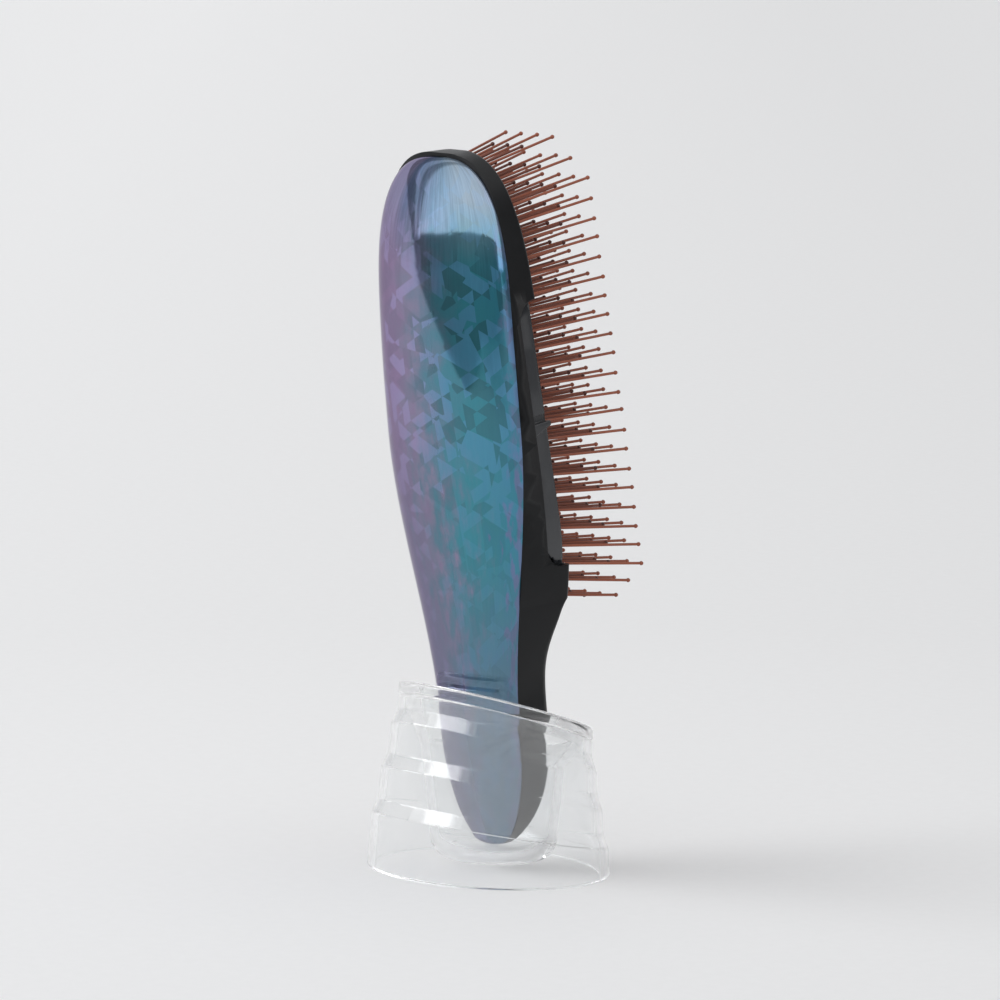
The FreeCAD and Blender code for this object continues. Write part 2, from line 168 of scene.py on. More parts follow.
def dot(tree, vector, way):
    inputs = {0: vector, 1: way}
    return addNode(tree, "ShaderNodeVectorMath", inputs, operation="DOT_PRODUCT").outputs["Value"]


def ramped(tree, value, start, end, low=0.0, high=1.0):
    inputs = {"Value": value, "From Min": start, "From Max": end, "To Min": low, "To Max": high}
    return addNode(tree, "ShaderNodeMapRange", inputs).outputs["Result"]


def noise(tree, vector, scale, detail):
    inputs = {"Vector": vector, "Scale": scale, "Detail": detail}
    return addNode(tree, "ShaderNodeTexNoise", inputs).outputs["Fac"]


def clearRay(tree, rays):
    # 1 for a ray that has met clear plastic, whose rays are perfectly sharp
    return calc(tree, "MAXIMUM", rays["Is Transmission Ray"], rays["Is Singular Ray"])


def mirrorRay(tree, rays):
    # 1 for a ray off any other shiny surface
    return calc(tree, "MULTIPLY", rays["Is Glossy Ray"], calc(tree, "SUBTRACT", 1.0, clearRay(tree, rays)))


def setShader(shader, **values):
    for key, value in values.items():
        name = key.replace("_", " ").title().replace("Ior", "IOR")
        shader.inputs[name].default_value = value


# Moulded grain, shared by the body, the frame, the pad and the pins
grain = {
    "fineDetail": 4.0, "wideScale": 90.0, "wideDetail": 3.0,
    "shade": (0.5, 0.75),           # spread and least share of the colour
    "roughSpread": 0.18,
    "edgeSamples": 6,
}


def makeGrainGroup():
    group = bpy.data.node_groups.new("mouldedGrain", "ShaderNodeTree")
    sockets = {
        "INPUT": {"Scale": "NodeSocketFloat", "Base": "NodeSocketColor", "Rough": "NodeSocketFloat"},
        "OUTPUT": {"Color": "NodeSocketColor", "Roughness": "NodeSocketFloat", "Height": "NodeSocketFloat"},
    }
    for side, kinds in sockets.items():
        for name, kind in kinds.items():
            group.interface.new_socket(name, in_out=side, socket_type=kind)
    source = group.nodes.new("NodeGroupInput").outputs
    coords = addNode(group, "ShaderNodeTexCoord").outputs["Object"]
    fine = noise(group, coords, source["Scale"], grain["fineDetail"])
    wide = noise(group, coords, grain["wideScale"], grain["wideDetail"])
    shade = calc(group, "MULTIPLY_ADD", wide, *grain["shade"])
    spread = calc(group, "SUBTRACT", wide, 0.5)
    addNode(group, "NodeGroupOutput", {
        "Color": scaled(group, source["Base"], shade),
        "Roughness": calc(group, "MULTIPLY_ADD", spread, grain["roughSpread"], source["Rough"]),
        "Height": fine,
    })
    return group


grainGroup = makeGrainGroup()


def grainedMaterial(name, piece):
    material, tree, shader = newMaterial(name)
    scale, height = piece["grain"]
    inputs = {"Base": (*piece["colour"], 1.0), "Rough": piece["rough"], "Scale": scale}
    grained = addNode(tree, "ShaderNodeGroup", inputs, node_tree=grainGroup).outputs
    feed(tree, shader.inputs["Base Color"], grained["Color"])
    feed(tree, shader.inputs["Roughness"], grained["Roughness"])
    bump = addNode(tree, "ShaderNodeBump", {"Height": grained["Height"], "Strength": 1.0, "Distance": height})
    if "edge" in piece:
        soft = addNode(tree, "ShaderNodeBevel", {"Radius": piece["edge"]}, samples=grain["edgeSamples"])
        feed(tree, bump.inputs["Normal"], soft.outputs["Normal"])
    feed(tree, shader.inputs["Normal"], bump.outputs["Normal"])
    setShader(shader, **piece.get("shine", {}))
    return material


# Back cover: a foil of small prism shards under a clear gloss coat. Its colour turn across the dome and its
# paler top are painted sheen
foil = {
    "sheet": (62.0, 167.0),         # the foil laid flat, across and along
    "cuts": ((6.0, 4.2, 0.34), (62.0, 4.8, 0.30), (121.0, 4.4, 0.36)),      # turn, pitch, unevenness
    "cutWave": 2.4, "patch": 12.0, "patchShift": 40.0,
    "turned": (                     # painted sheen: the foil's mauve-to-teal shift with viewing angle, painted from one side of the dome to the other
        (0.0, (0.220, 0.140, 0.26)), (0.20, (0.250, 0.165, 0.29)), (0.38, (0.275, 0.200, 0.34)),
        (0.48, (0.240, 0.225, 0.34)), (0.56, (0.140, 0.215, 0.31)), (0.66, (0.066, 0.235, 0.31)),
        (0.78, (0.042, 0.245, 0.31)), (0.93, (0.042, 0.235, 0.33)), (1.0, (0.130, 0.190, 0.34)),
    ),
    # painted sheen: paler colours near the top of the dome
    "topSheen": (
        (0.35, (0.270, 0.275, 0.43)), (0.41, (0.085, 0.165, 0.30)),
        (0.62, (0.150, 0.225, 0.33)), (0.80, (0.265, 0.300, 0.36)),
    ),
    "paleShard": (0.120, 0.320, 0.58), "lilacShard": (0.400, 0.360, 0.66), "darkShard": (0.030, 0.095, 0.115),
    "handle": (0.150, 0.165, 0.25), "lowMauve": (0.140, 0.165, 0.24),
    "paleOver": 0.70, "paleShare": 0.42, "darkUnder": 0.26, "darkShare": 0.50,
    "drift": 0.26, "driftGrain": (0.16, 3.0),
    "mottleStretch": (0.42, 0.16, 0.0), "mottleGrain": (1.0, 3.0),
    "streakStretch": (1.6, 0.10, 0.0), "streakGrain": (1.0, 2.0), "streakRange": (0.3, 0.7, -1.0, 1.0),
    # runs along the cover: from, to, and the shares there
    "mottleRun": (112.0, 78.0, 0.12, 0.75), "handleRun": (74.0, 36.0, 0.0, 0.65),
    "greyRun": (108.0, 78.0, 0.0, 0.6), "topSheenRun": (143.0, 158.0, 0.0, 0.8),
    "shardRun": (72.0, 114.0, 0.24, 1.0), "topPale": (142.0, 154.0, 1.0, 0.25),
    "topDark": (140.0, 150.0, 1.0, 0.15), "streakRun": (132.0, 154.0, 0.02, 0.16),
    # runs across it
    "mauveEnd": (0.48, 0.66), "mauveDark": (0.0, 1.0, 0.30, 1.0), "metalRun": (0.80, 0.45, 0.50, 0.85),
    "rough": (0.0, 1.0, 0.045, 0.09), "tilt": 0.014,
    "shine": {
        "specular_tint": (0.42, 0.36, 0.50, 1.0),
        "coat_weight": 0.5, "coat_roughness": 0.015, "coat_ior": 1.45,
    },
}


def shardCells(tree, flat):
    # Three families of straight cuts at uneven steps, shifted from patch to patch
    patches = addNode(tree, "ShaderNodeTexVoronoi", {"Vector": flat, "Scale": 1.0 / foil["patch"]})
    moved = vectorCalc(tree, "ADD", flat, scaled(tree, patches.outputs["Color"], foil["patchShift"]))
    steps = []
    for turn, pitch, uneven in foil["cuts"]:
        angle = math.radians(turn)
        place = calc(tree, "DIVIDE", dot(tree, moved, (math.cos(angle), math.sin(angle), 0.0)), pitch)
        wave = calc(tree, "SINE", calc(tree, "MULTIPLY", place, foil["cutWave"]))
        steps.append(calc(tree, "FLOOR", calc(tree, "MULTIPLY_ADD", wave, uneven, place)))
    cell = addNode(tree, "ShaderNodeCombineXYZ", dict(enumerate(steps))).outputs[0]
    return addNode(tree, "ShaderNodeTexWhiteNoise", {"Vector": cell}, noise_dimensions="3D").outputs


def foilColour(tree, flat, along, across, turned):
    # The colour turns across the dome, a painted sheen for the foil's shift with viewing angle, and drifts from
    # place to place, more so below the head
    drift = calc(tree, "SUBTRACT", noise(tree, flat, *foil["driftGrain"]), 0.5)
    shifted = calc(tree, "MULTIPLY_ADD", drift, foil["drift"], across)
    mottled = vectorCalc(tree, "MULTIPLY", flat, foil["mottleStretch"])
    mottle = calc(tree, "SUBTRACT", noise(tree, mottled, *foil["mottleGrain"]), 0.5)
    shifted = calc(tree, "MULTIPLY_ADD", mottle, ramped(tree, along, *foil["mottleRun"]), shifted)
    colour = addRamp(tree, shifted, foil["turned"])
    colour = mixColour(tree, ramped(tree, along, *foil["handleRun"]), colour, foil["handle"])
    # The mauve greys below the head
    greyed = calc(tree, "MULTIPLY", ramped(tree, along, *foil["greyRun"]), calc(tree, "SUBTRACT", 1.0, turned))
    colour = mixColour(tree, greyed, colour, foil["lowMauve"])
    # Near the top a paler colour is painted in: painted sheen
    top = addRamp(tree, across, foil["topSheen"])
    return mixColour(tree, ramped(tree, along, *foil["topSheenRun"]), colour, top)


def shardColour(tree, shard, colour, along, turned):
    # Pale and dark shards. The dark ones show less on the mauve side and near the top
    lower = ramped(tree, along, *foil["shardRun"])
    paleShare = calc(tree, "MULTIPLY", lower, ramped(tree, along, *foil["topPale"]))
    darkShare = calc(tree, "MULTIPLY", ramped(tree, turned, *foil["mauveDark"]), lower)
    darkShare = calc(tree, "MULTIPLY", darkShare, ramped(tree, along, *foil["topDark"]))
    pale = calc(tree, "MULTIPLY", calc(tree, "GREATER_THAN", shard, foil["paleOver"]), foil["paleShare"])
    dark = calc(tree, "MULTIPLY", calc(tree, "LESS_THAN", shard, foil["darkUnder"]), foil["darkShare"])
    paleColour = mixColour(tree, turned, foil["lilacShard"], foil["paleShard"])
    colour = mixColour(tree, calc(tree, "MULTIPLY", pale, paleShare), colour, paleColour)
    return mixColour(tree, calc(tree, "MULTIPLY", dark, darkShare), colour, foil["darkShard"])


def foilMaterial():
    material, tree, shader = newMaterial("prismFoil")
    sheet = addNode(tree, "ShaderNodeUVMap", uv_map="dome").outputs[0]
    flat = vectorCalc(tree, "MULTIPLY", sheet, (*foil["sheet"], 0.0))
    along = addNode(tree, "ShaderNodeSeparateXYZ", {"Vector": flat}).outputs["Y"]
    across = addNode(tree, "ShaderNodeSeparateXYZ", {"Vector": sheet}).outputs["X"]
    # Share of the painted sheen's turn from mauve to teal
    turned = ramped(tree, across, *foil["mauveEnd"])
    shards = shardCells(tree, flat)
    colour = foilColour(tree, flat, along, across, turned)
    colour = shardColour(tree, shards["Value"], colour, along, turned)
    # Long streaks fan down from the top
    brushed = vectorCalc(tree, "MULTIPLY", flat, foil["streakStretch"])
    streaks = ramped(tree, noise(tree, brushed, *foil["streakGrain"]), *foil["streakRange"])
    streaked = calc(tree, "MULTIPLY", streaks, ramped(tree, along, *foil["streakRun"]))
    feed(tree, shader.inputs["Base Color"], scaled(tree, colour, calc(tree, "ADD", streaked, 1.0)))
    feed(tree, shader.inputs["Metallic"], ramped(tree, across, *foil["metalRun"]))
    feed(tree, shader.inputs["Roughness"], ramped(tree, shards["Value"], *foil["rough"]))
    # Each shard leans its own way, so it catches the light by itself
    lean = scaled(tree, vectorCalc(tree, "SUBTRACT", shards["Color"], (0.5, 0.5, 0.5)), foil["tilt"])
    normal = addNode(tree, "ShaderNodeNewGeometry").outputs["Normal"]
    feed(tree, shader.inputs["Normal"], vectorCalc(tree, "NORMALIZE", vectorCalc(tree, "ADD", normal, lean)))
    setShader(shader, **foil["shine"])
    return material


cover = {
    "around": 96, "along": 190,
    "low": 0.05, "high": 166.45, "top": 166.5,
    "handleHalf": 13.2, "headHalf": 22.6, "handleCrown": 8.2, "headCrown": 12.9,
    "neck": (30.0, 102.0),
    "handleEnd": 30.0, "handlePower": 2.0,
    "headEnd": 33.3, "headPower": 2.7, "crownEnd": 56.0, "crownPower": 2.0,
    "wall": 1.6, "sharp": 50.0,
}


def coverReach(s, handle, head, topLength, topPower):
    core = handle + (head - handle) * smoothStep(s, *cover["neck"])
    low = endShare(s, cover["handleEnd"], cover["handlePower"])
    return core * low * endShare(cover["top"] - s, topLength, topPower)


def backHalf(s):
    return coverReach(s, cover["handleHalf"], cover["headHalf"], cover["headEnd"], cover["headPower"])


def crownDepth(s):
    return coverReach(s, cover["handleCrown"], cover["headCrown"], cover["crownEnd"], cover["crownPower"])


def makeCover():
    bm = bmesh.new()
    sheet = bm.loops.layers.uv.new("dome")
    bmesh.ops.create_grid(
        bm, x_segments=cover["around"], y_segments=cover["along"], size=1.0, calc_uvs=True)
    reach = (cover["high"] - cover["low"]) / 2.0
    for vert in bm.verts:
        turn = math.pi * (vert.co.x + 1.0) / 2.0
        s = cover["low"] + reach * (1.0 - math.cos(math.pi * (vert.co.y + 1.0) / 2.0))
        for loop in vert.link_loops:
            loop[sheet].uv.y = s / cover["top"]
        vert.co = Vector((-backHalf(s) * math.cos(turn), -crownDepth(s) * math.sin(turn), s)) * mm
    bmesh.ops.recalc_face_normals(bm, faces=bm.faces)
    outermost = min(bm.faces, key=lambda face: face.calc_center_median().y)
    if outermost.normal.y > 0.0:
        bmesh.ops.reverse_faces(bm, faces=bm.faces)
    bmesh.ops.solidify(bm, geom=bm.faces[:] + bm.edges[:] + bm.verts[:], thickness=cover["wall"] * mm)
    piece = addPiece("backCover", bm, "brush", "back_cover", foilMaterial(), brushPlace)
    smoothPiece(piece, cover["sharp"])


makeCover()
print("cover made")


# Front body and head frame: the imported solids, merged and smoothed
frontBody = {
    "colour": (0.0075, 0.008, 0.009), "rough": 0.36, "grain": (5200.0, 0.00002), "edge": 0.0004,
    "shine": {"specular_ior_level": 0.2},
    "sharp": 32.0,
}
headFrame = {
    "colour": (0.025, 0.027, 0.031), "rough": 0.22, "grain": (2600.0, 0.00001), "edge": 0.0008,
    "shine": {"coat_weight": 0.4, "coat_roughness": 0.10},
    "sharp": 32.0,
}


def smoothedCopy(name, node, body, material, angle):
    bm = bmesh.new()
    bm.from_mesh(frame["nodes"][node].data)
    bmesh.ops.remove_doubles(bm, verts=bm.verts, dist=0.001 * mm)
    piece = addPiece(name, bm, body, node, material)
    smoothPiece(piece, angle)
    normals = piece.modifiers.new("normals", "WEIGHTED_NORMAL")
    normals.keep_sharp = True


bodyFinish = grainedMaterial("satinBlack", frontBody)
frameFinish = grainedMaterial("glossGrey", headFrame)
smoothedCopy("frontBody", "front_body", "brush", bodyFinish, frontBody["sharp"])
smoothedCopy("headFrame", "head_frame", "brush_head", frameFinish, headFrame["sharp"])
print("body and frame made")


# Cushion pad: a low crown inside the head's outline
pad = {
    "foot": 55.6, "top": 167.3, "inset": 2.55,
    "handleHalf": 12.4, "headHalf": 21.4, "neck": (36.0, 80.0),
    "topLength": 37.0, "footLength": 14.0, "topPower": 2.7, "footPower": 2.6,
    "bottom": -2.0, "face": -0.4,
    "sides": 96,
    # share of the outline, rise from the face
    "rings": (
        (1.0, -0.45), (0.997, -0.2), (0.988, -0.05), (0.97, 0.0),
        (0.88, 0.1), (0.7, 0.2), (0.45, 0.28), (0.2, 0.3),
    ),
    "colour": (0.018, 0.017, 0.017), "rough": 0.62, "grain": (3800.0, 0.00003),
    "sharp": 40.0,
}


def padHalf(s):
    core = pad["handleHalf"] + (pad["headHalf"] - pad["handleHalf"]) * smoothStep(s, *pad["neck"])
    high = endShare(pad["top"] - pad["inset"] - s, pad["topLength"] - pad["inset"], pad["topPower"])
    low = endShare(s - pad["foot"] - pad["inset"], pad["footLength"], pad["footPower"])
    return (core - pad["inset"]) * high * low


def growLoop(bm, loop, places):
    # Draws an open loop of edges out from place to place
    for old, new in zip(places, places[1:]):
        made = bmesh.ops.extrude_edge_only(bm, edges=loop)["geom"]
        verts = [item for item in made if isinstance(item, bmesh.types.BMVert)]
        loop = [item for item in made if isinstance(item, bmesh.types.BMEdge)]
        bmesh.ops.transform(bm, matrix=new @ old.inverted(), verts=verts)
    return loop


def makePad():
    bm = bmesh.new()
    bmesh.ops.create_circle(bm, cap_ends=True, segments=pad["sides"], radius=1.0)
    low = pad["foot"] + pad["inset"]
    reach = (pad["top"] - pad["inset"] - low) / 2.0
    for vert in bm.verts:
        s = low + reach * (1.0 + vert.co.y)
        side = math.copysign(padHalf(s), vert.co.x)
        vert.co = Vector((side, pad["bottom"], s - brush["headMiddle"])) * mm
    middle = Matrix.Translation((0.0, 0.0, (low + reach - brush["headMiddle"]) * mm))
    places = [middle]
    for share, rise in pad["rings"]:
        up = Matrix.Translation((0.0, (pad["face"] + rise - pad["bottom"] * share) * mm, 0.0))
        places.append(up @ middle @ Matrix.Diagonal((share, share, share, 1.0)))
    loop = growLoop(bm, bm.edges[:], places)
    bmesh.ops.edgeloop_fill(bm, edges=loop)
    bmesh.ops.recalc_face_normals(bm, faces=bm.faces)
    finish = grainedMaterial("padRubber", pad)
    piece = addPiece("cushionPad", bm, "brush_head", "cushion_pad", finish, headPlace)
    smoothPiece(piece, pad["sharp"])


makePad()
print("pad made")


# Pins: long ones on the columns, short ones between, fanned along the head and splayed across it
pins = {
    "rows": 25, "columns": 8,
    "rowMiddle": -0.5, "rowPitch": 4.32, "columnPitch": 4.3,
    "longPin": 22.55, "shortPin": 15.65,
    "radius": 0.33, "tipRadius": 0.53, "rootDepth": 1.5,
    "padRecess": 0.4,
    "fanMiddle": -3.5, "fanRate": 0.225, "splayRate": 1.0,
    "sway": 0.9,                    # degrees either way, as the pins never stand quite true
    "sides": 8, "tipRings": 5, "sharp": 60.0,
    # painted shade: short pins, deep among the long ones, are painted towards the dark colour, their tips most
    "colour": (0.300, 0.090, 0.049), "dark": (0.052, 0.014, 0.011),
    "rough": 0.36, "grain": (4200.0, 0.00001), "shine": {"specular_ior_level": 0.3},
    "shortShade": 0.45, "shortTipShade": 0.12,
    "seed": 7,
}
rowNodes = sorted(name for name in frame["nodes"] if name.startswith("pin_row_"))
chance = random.Random(pins["seed"])


def rowColumns(node):
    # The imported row's width says how many columns it has
    low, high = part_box(node)
    reach = (high[0] - low[0]) / 2.0 / mm - pins["tipRadius"]

    def endOf(count):
        u = (count - 1) / 2.0 * pins["columnPitch"]
        return u + (pins["longPin"] - pins["tipRadius"]) * math.sin(math.radians(pins["splayRate"] * u))

    return min(range(2, pins["columns"] + 1, 2), key=lambda count: abs(endOf(count) - reach))


def addPin(bm, shade, u, height, isLong, sway):
    rise = math.radians(pins["fanMiddle"] + pins["fanRate"] * height + sway[1])
    splay = math.radians(pins["splayRate"] * u + sway[0])
    way = Vector((math.sin(splay), math.cos(splay) * math.cos(rise), math.cos(splay) * math.sin(rise)))
    turn = way.to_track_quat("Z", "Y").to_matrix().to_4x4()
    place = headPlace @ Matrix.Translation(Vector((u, -pins["padRecess"], height)) * mm) @ turn
    length = pins["longPin"] if isLong else pins["shortPin"]
    shaftLength = length - pins["tipRadius"] + pins["rootDepth"]
    middle = Matrix.Translation((0.0, 0.0, (shaftLength / 2.0 - pins["rootDepth"]) * mm))
    shaft = bmesh.ops.create_cone(
        bm, cap_ends=True, segments=pins["sides"], radius1=pins["radius"] * mm, radius2=pins["radius"] * mm,
        depth=shaftLength * mm, matrix=place @ middle)
    end = Matrix.Translation((0.0, 0.0, (length - pins["tipRadius"]) * mm))
    ball = bmesh.ops.create_uvsphere(
        bm, u_segments=pins["sides"], v_segments=pins["tipRings"], radius=pins["tipRadius"] * mm,
        matrix=place @ end)
    # Painted shade: the short pins' shafts and tips are marked darker
    for part, shortShade in ((shaft, pins["shortShade"]), (ball, pins["shortTipShade"])):
        for vert in part["verts"]:
            vert[shade] = 1.0 if isLong else shortShade


def pinMaterial():
    material = grainedMaterial("copperNylon", pins)
    tree = material.node_tree
    shader = next(node for node in tree.nodes if node.type == "BSDF_PRINCIPLED")
    grained = shader.inputs["Base Color"].links[0].from_socket
    # The shade attribute mixes painted shade towards the dark colour into the short pins
    shade = addNode(tree, "ShaderNodeAttribute", attribute_name="shade").outputs["Fac"]
    feed(tree, shader.inputs["Base Color"], mixColour(tree, shade, pins["dark"], grained))
    return material


pinFinish = pinMaterial()


def makePinRow(index, node):
    bm = bmesh.new()
    shade = bm.verts.layers.float.new("shade")
    height = pins["rowMiddle"] + (index - (pins["rows"] - 1) / 2.0) * pins["rowPitch"]
    columns = rowColumns(node)
    isTop = index == pins["rows"] - 1
    for step in range(-(columns - 1), columns):
        across = chance.uniform(-pins["sway"], pins["sway"])
        rise = chance.uniform(-pins["sway"], 0.0 if isTop else pins["sway"])
        isLong = (step + columns - 1) % 2 == 0
        addPin(bm, shade, step * pins["columnPitch"] / 2.0, height, isLong, (across, rise))
    piece = addPiece(f"pinRow{index + 1:02d}", bm, "brush_head", node, pinFinish)
    smoothPiece(piece, pins["sharp"])


for index, node in enumerate(rowNodes):
    makePinRow(index, node)
print("pins made:", len(rowNodes), "rows")


# Stand: clear plastic, each piece a closed stack of tilted oval rings
stand = {
    "sides": 160,
    "rimX": 28.35, "rimY": 20.1, "rimHeight": 39.0, "rimForward": 2.5,
    "lipWidth": 2.75, "lipHeight": 2.8, "lipGap": 0.06,
    "tierFirst": 12.7, "tierPitch": 9.9, "tierDrop": 3.5, "tierStep": 1.4, "tierDraft": 0.35, "tiers": 3,
    "tilt": 11.0, "tiltStep": 4.25,
    "wall": 2.0,
    "socketX": 16.5, "socketY": 14.55, "socketMiddle": 2.0, "socketHeight": 28.0, "socketTilt": 12.0,
    "socketDraft": 2.2, "socketRound": 5.0, "socketLift": 2.5, "socketWall": 2.0,
    "cupTurn": (15.0, 75.0), "cupSteps": 6,     # where the cup's round foot starts, how far it turns
    "spigot": 2.0, "spigotGap": 0.2,
    "edgeRound": 0.45, "edgeSteps": 8, "edgeOver": 30.0, "sharp": 14.0,
    "flowGrain": (28.0, 1.0), "flow": (0.25, 0.0004),
    "hazeGrain": (140.0, 3.0), "haze": ((0.3, (0.985, 0.99, 0.99)), (0.8, (0.955, 0.965, 0.97))),
    "passOver": 2.5, "passAlpha": 0.04,
    "shine": {"transmission_weight": 0.97, "ior": 1.42, "roughness": 0.0},
}
rimTilt = stand["tilt"] + stand["tiltStep"] * (stand["tiers"] - 1)


def leanOf(height):
    return stand["rimForward"] * height / stand["rimHeight"]


def ringPlace(halfX, halfY, middleY, height, tilt):
    place = Matrix.Translation(Vector((0.0, middleY, height)) * mm)
    turned = place @ Matrix.Rotation(math.radians(-tilt), 4, "X")
    return turned @ Matrix.Diagonal((halfX * mm, halfY * mm, mm, 1.0))


def stackRings(rings, closed):
    bm = bmesh.new()
    places = [ringPlace(*ring) for ring in rings]
    bmesh.ops.create_circle(bm, cap_ends=not closed, segments=stand["sides"], radius=1.0, matrix=places[0])
    loop = growLoop(bm, bm.edges[:], places + places[:1] if closed else places)
    if closed:
        bmesh.ops.remove_doubles(bm, verts=bm.verts, dist=0.001 * mm)
    else:
        bmesh.ops.edgeloop_fill(bm, edges=loop)
    bmesh.ops.recalc_face_normals(bm, faces=bm.faces)
    return bm


def tierRings(inset, low, high):
    rings = []

    def add(out, height, tilt):
        rings.append((stand["rimX"] + out - inset, stand["rimY"] + out - inset, leanOf(height), height, tilt))

    add(stand["tiers"] * (stand["tierStep"] + stand["tierDraft"]), low, 0.0)
    for tier in range(stand["tiers"]):
        left = stand["tiers"] - tier
        tilt = stand["tilt"] + stand["tiltStep"] * tier
        top = stand["tierFirst"] + tier * stand["tierPitch"]
        add(left * stand["tierStep"] + (left - 1) * stand["tierDraft"], top - stand["tierDrop"], tilt)
        add((left - 1) * (stand["tierStep"] + stand["tierDraft"]), top, tilt)
    add(0.0, high, rimTilt)
    return rings


def clearMaterial():
    material, tree, shader = newMaterial("clearPlastic")
    coords = addNode(tree, "ShaderNodeTexCoord").outputs["Object"]
    haze = noise(tree, coords, *stand["hazeGrain"])
    feed(tree, shader.inputs["Base Color"], addRamp(tree, haze, stand["haze"]))
    strength, distance = stand["flow"]
    flow = noise(tree, coords, *stand["flowGrain"])
    bump = addNode(tree, "ShaderNodeBump", {"Height": flow, "Strength": strength, "Distance": distance})
    feed(tree, shader.inputs["Normal"], bump.outputs["Normal"])
    # Shadows, bounced light and rays caught inside pass almost unhindered, as they do through real clear plastic
    rays = addNode(tree, "ShaderNodeLightPath").outputs
    passing = calc(tree, "MAXIMUM", rays["Is Shadow Ray"], rays["Is Diffuse Ray"])
    caught = calc(tree, "GREATER_THAN", rays["Glossy Depth"], stand["passOver"])
    passing = calc(tree, "MAXIMUM", passing, caught)
    feed(tree, shader.inputs["Alpha"], ramped(tree, passing, 0.0, 1.0, 1.0, stand["passAlpha"]))
    setShader(shader, **stand["shine"])
    return material


clearFinish = clearMaterial()


def roundEdges(piece):
    bevel = piece.modifiers.new("edges", "BEVEL")
    bevel.width = stand["edgeRound"] * mm
    bevel.segments = stand["edgeSteps"]
    bevel.limit_method = "ANGLE"
    bevel.angle_limit = math.radians(stand["edgeOver"])
    smoothPiece(piece, stand["sharp"])


def makeSkirt():
    lipBottom = stand["rimHeight"] - stand["lipHeight"] - stand["lipGap"]
    outer = tierRings(0.0, 0.0, lipBottom)
    inner = tierRings(stand["wall"], 0.0, lipBottom)
    bm = stackRings(outer + inner[::-1], True)
    roundEdges(addPiece("standSkirt", bm, "stand", "stand_skirt", clearFinish))


def cupRings(wall, floor):
    rings = []

    def add(grown, height, tilt):
        rings.append((stand["socketX"] + grown, stand["socketY"] + grown, stand["socketMiddle"], height, tilt))

    start, reach = stand["cupTurn"]
    for step in range(stand["cupSteps"] + 1):
        turn = math.radians(start + reach * step / stand["cupSteps"])
        pulled = stand["socketRound"] * (1.0 - math.sin(turn)) + stand["socketDraft"]
        add(wall - pulled, floor + stand["socketRound"] * (1.0 - math.cos(turn)), 0.0)
    add(wall, stand["socketHeight"] - wall / 2.0, stand["socketTilt"])
    return rings


def makeSocket():
    lipBottom = stand["rimHeight"] - stand["lipHeight"]
    inset = stand["wall"] + stand["spigotGap"]

    def rimRing(less, height):
        return (stand["rimX"] - less, stand["rimY"] - less, leanOf(height), height, rimTilt)

    rings = cupRings(stand["socketWall"], stand["socketLift"])
    rings += [rimRing(inset, lipBottom - stand["spigot"]), rimRing(inset, lipBottom), rimRing(0.0, lipBottom)]
    rings += [rimRing(0.0, stand["rimHeight"]), rimRing(stand["lipWidth"], stand["rimHeight"])]
    rings += cupRings(0.0, stand["socketLift"] + stand["socketWall"])[::-1]
    bm = stackRings(rings, False)
    roundEdges(addPiece("standSocket", bm, "stand", "stand_socket", clearFinish))


makeSkirt()
makeSocket()
print("stand made")


# Camera
view = {
    "azimuth": 51.08, "elevation": 7.0, "distance": 1.8,
    "mmPerPixel": 0.2379, "imageSize": 1000, "footPixel": (487.5, 868.5),
    "sensor": 36.0,
}


def makeCamera():
    turn = math.radians(view["azimuth"])
    rise = math.radians(view["elevation"])
    back = Vector((math.sin(turn) * math.cos(rise), -math.cos(turn) * math.cos(rise), math.sin(rise)))
    right = Vector((math.cos(turn), math.sin(turn), 0.0))
    up = back.cross(right)
    half = view["imageSize"] / 2.0
    scale = view["mmPerPixel"] * mm
    aim = right * (half - view["footPixel"][0]) * scale + up * (view["footPixel"][1] - half) * scale
    data = bpy.data.cameras.new("camera")
    data.sensor_width = view["sensor"]
    data.lens = view["sensor"] * view["distance"] / (view["imageSize"] * scale)
    camera = addObject("camera", data)
    camera.location = aim + back * view["distance"]
    camera.rotation_euler = Matrix((right, up, back)).transposed().to_euler()
    bpy.context.scene.camera = camera
    return right, Vector((math.sin(turn), -math.cos(turn), 0.0))


# Floor: white paper on a table. Reflections see the table end in front of the stand, and the dark room past it
paper = {
    "size": 14.0,
    "colour": (0.86, 0.86, 0.86), "fibreColour": (0.8471, 0.8471, 0.8471), "fibreGrain": (300.0, 3.0),
    "paintedFalloffRun": (-0.22, 0.22, 1.035, 0.92),     # painted light falloff: darker from left to right
    "paintedPoolRun": (0.42, 0.12, 1.0, 1.05),         # and a painted pool of light, lightest around the stand
    "dark": (0.05, 0.05, 0.05),
    "edgeSlant": 0.2166, "edgeRun": (-0.33, -0.20, 0.395, 0.475), "fadeRun": (-0.33, -0.20, 0.012, 0.20),
    "asideSlant": -0.80, "asideRun": (0.17, 0.11),
    "besideRun": (0.90, 1.20), "besideAside": (0.2, 0.5),
    "shine": {"roughness": 0.75, "specular_ior_level": 0.2},
}


